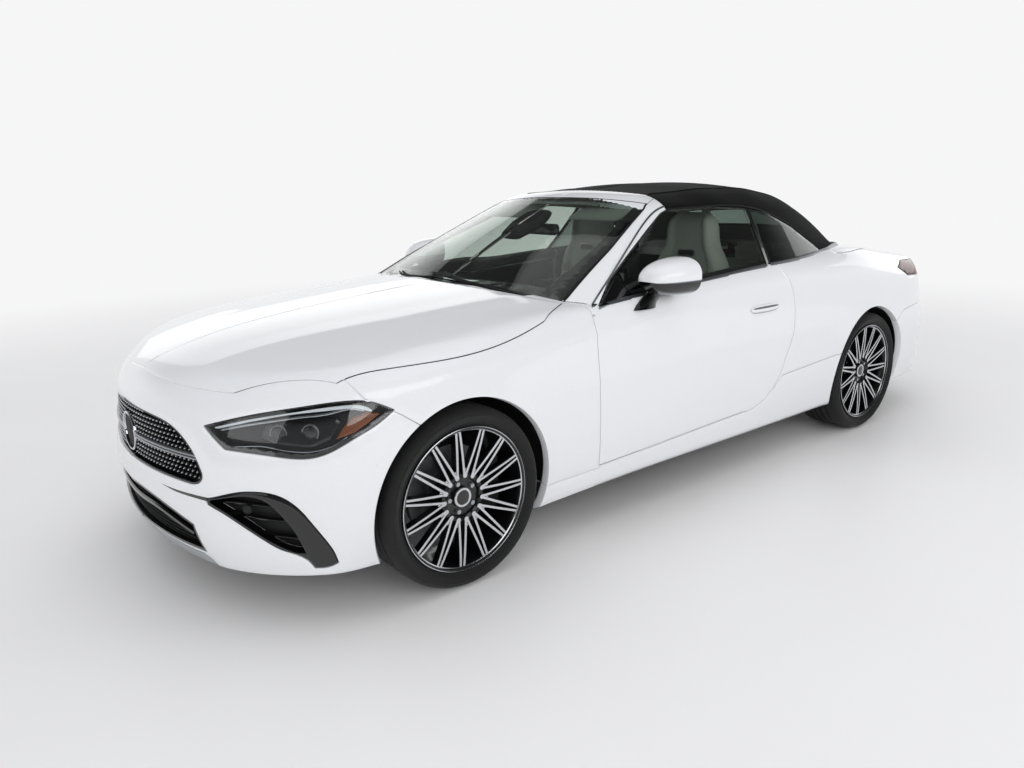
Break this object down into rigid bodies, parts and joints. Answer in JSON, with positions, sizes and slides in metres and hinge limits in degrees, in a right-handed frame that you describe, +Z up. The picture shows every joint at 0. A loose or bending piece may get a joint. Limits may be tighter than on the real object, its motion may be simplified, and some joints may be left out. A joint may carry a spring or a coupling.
{
  "type": "four-seat soft-top convertible car",
  "caption": "Two-door open car with its fabric top up: hollow cabin, opening doors, bonnet and boot lid, steered front wheels and turning rear wheels.",
  "frame": {"origin": "on the ground under the middle of the bounding box", "axes": "+X forward, +Y to the car's left, +Z up"},
  "size_m": [4.8498, 2.045, 1.4241],
  "materials": {
    "paint": "gloss",
    "dark_paint": "matt",
    "engine": "cast",
    "steel": "matt",
    "dark_plastic": "gloss",
    "lamp": "clear",
    "tail_lamp": "clear",
    "glass": "tinted",
    "fabric": "woven",
    "interior_plastic": "grained",
    "leather": "grained",
    "steering_leather": "grained",
    "alloy": "machined",
    "tyre": "matt"
  },
  "bodies": {
    "body": {"underbody": "dark_paint", "engine_block": "engine", "front_subframe": "steel", "rear_axle": "steel", "front_bumper": "paint", "grille": "dark_plastic", "bumper_inserts": "dark_plastic", "headlamps": "lamp", "tail_lamps": "tail_lamp", "front_fenders": "paint", "sills": "paint", "rear_quarters": "paint", "tonneau_panel": "paint", "rear_bumper": "paint", "cowl": "dark_plastic", "windscreen_frame": "paint", "windscreen": "glass", "soft_top": "fabric", "rear_window": "glass", "quarter_glasses": "glass", "dashboard": "interior_plastic", "console": "interior_plastic", "front_seats": "leather", "rear_bench": "leather"},
    "bonnet": {"bonnet": "paint"},
    "boot_lid": {"boot_lid": "paint"},
    "steering_wheel": {"steering_wheel": "steering_leather"},
    "door_left": {"door_left": "paint", "door_glass_left": "glass", "mirror_left": "paint"},
    "knuckle_left": {"knuckle_left": "steel"},
    "door_right": {"door_right": "paint", "door_glass_right": "glass", "mirror_right": "paint"},
    "knuckle_right": {"knuckle_right": "steel"},
    "wheel_front_left": {"rim_front_left": "alloy", "tyre_front_left": "tyre"},
    "wheel_front_right": {"rim_front_right": "alloy", "tyre_front_right": "tyre"},
    "wheel_rear_left": {"rim_rear_left": "alloy", "tyre_rear_left": "tyre"},
    "wheel_rear_right": {"rim_rear_right": "alloy", "tyre_rear_right": "tyre"}
  },
  "joints": [
    {"name": "bonnet_hinge", "type": "hinge", "parent": "body", "child": "bonnet", "pos_m": [0.893, 0, 0.962], "axis": [0, -1, 0], "range_deg": [0, 48]},
    {"name": "boot_lid_hinge", "type": "hinge", "parent": "body", "child": "boot_lid", "pos_m": [-1.762, 0, 1.044], "axis": [0, 1, 0], "range_deg": [0, 72]},
    {"name": "door_left_hinge", "type": "hinge", "parent": "body", "child": "door_left", "pos_m": [0.882, 0.921, 0.6], "axis": [0, 0, -1], "range_deg": [0, 64]},
    {"name": "door_right_hinge", "type": "hinge", "parent": "body", "child": "door_right", "pos_m": [0.882, -0.921, 0.6], "axis": [0, 0, 1], "range_deg": [0, 64]},
    {"name": "steer_left", "type": "hinge", "parent": "body", "child": "knuckle_left", "pos_m": [1.54, 0.7205, 0.32], "axis": [0, 0, 1], "range_deg": [-35, 35]},
    {"name": "steer_right", "type": "hinge", "parent": "body", "child": "knuckle_right", "pos_m": [1.54, -0.7205, 0.32], "axis": [0, 0, 1], "range_deg": [-35, 35]},
    {"name": "steering_wheel_turn", "type": "hinge", "parent": "body", "child": "steering_wheel", "pos_m": [0.44, 0.372, 0.862], "axis": [-0.9135, 0, 0.4067], "range_deg": [-500, 500]},
    {"name": "front_left_spin", "type": "hinge", "parent": "knuckle_left", "child": "wheel_front_left", "pos_m": [1.54, 0.7925, 0.3395], "axis": [0, 1, 0], "continuous": true},
    {"name": "front_right_spin", "type": "hinge", "parent": "knuckle_right", "child": "wheel_front_right", "pos_m": [1.54, -0.7925, 0.3395], "axis": [0, 1, 0], "continuous": true},
    {"name": "rear_left_spin", "type": "hinge", "parent": "body", "child": "wheel_rear_left", "pos_m": [-1.325, 0.778, 0.3395], "axis": [0, 1, 0], "continuous": true},
    {"name": "rear_right_spin", "type": "hinge", "parent": "body", "child": "wheel_rear_right", "pos_m": [-1.325, -0.778, 0.3395], "axis": [0, 1, 0], "continuous": true}
  ],
  "couplings": [
    {"joint": "steer_right", "follows": "steer_left", "ratio": 1},
    {"joint": "steering_wheel_turn", "follows": "steer_left", "ratio": 14}
  ]
}
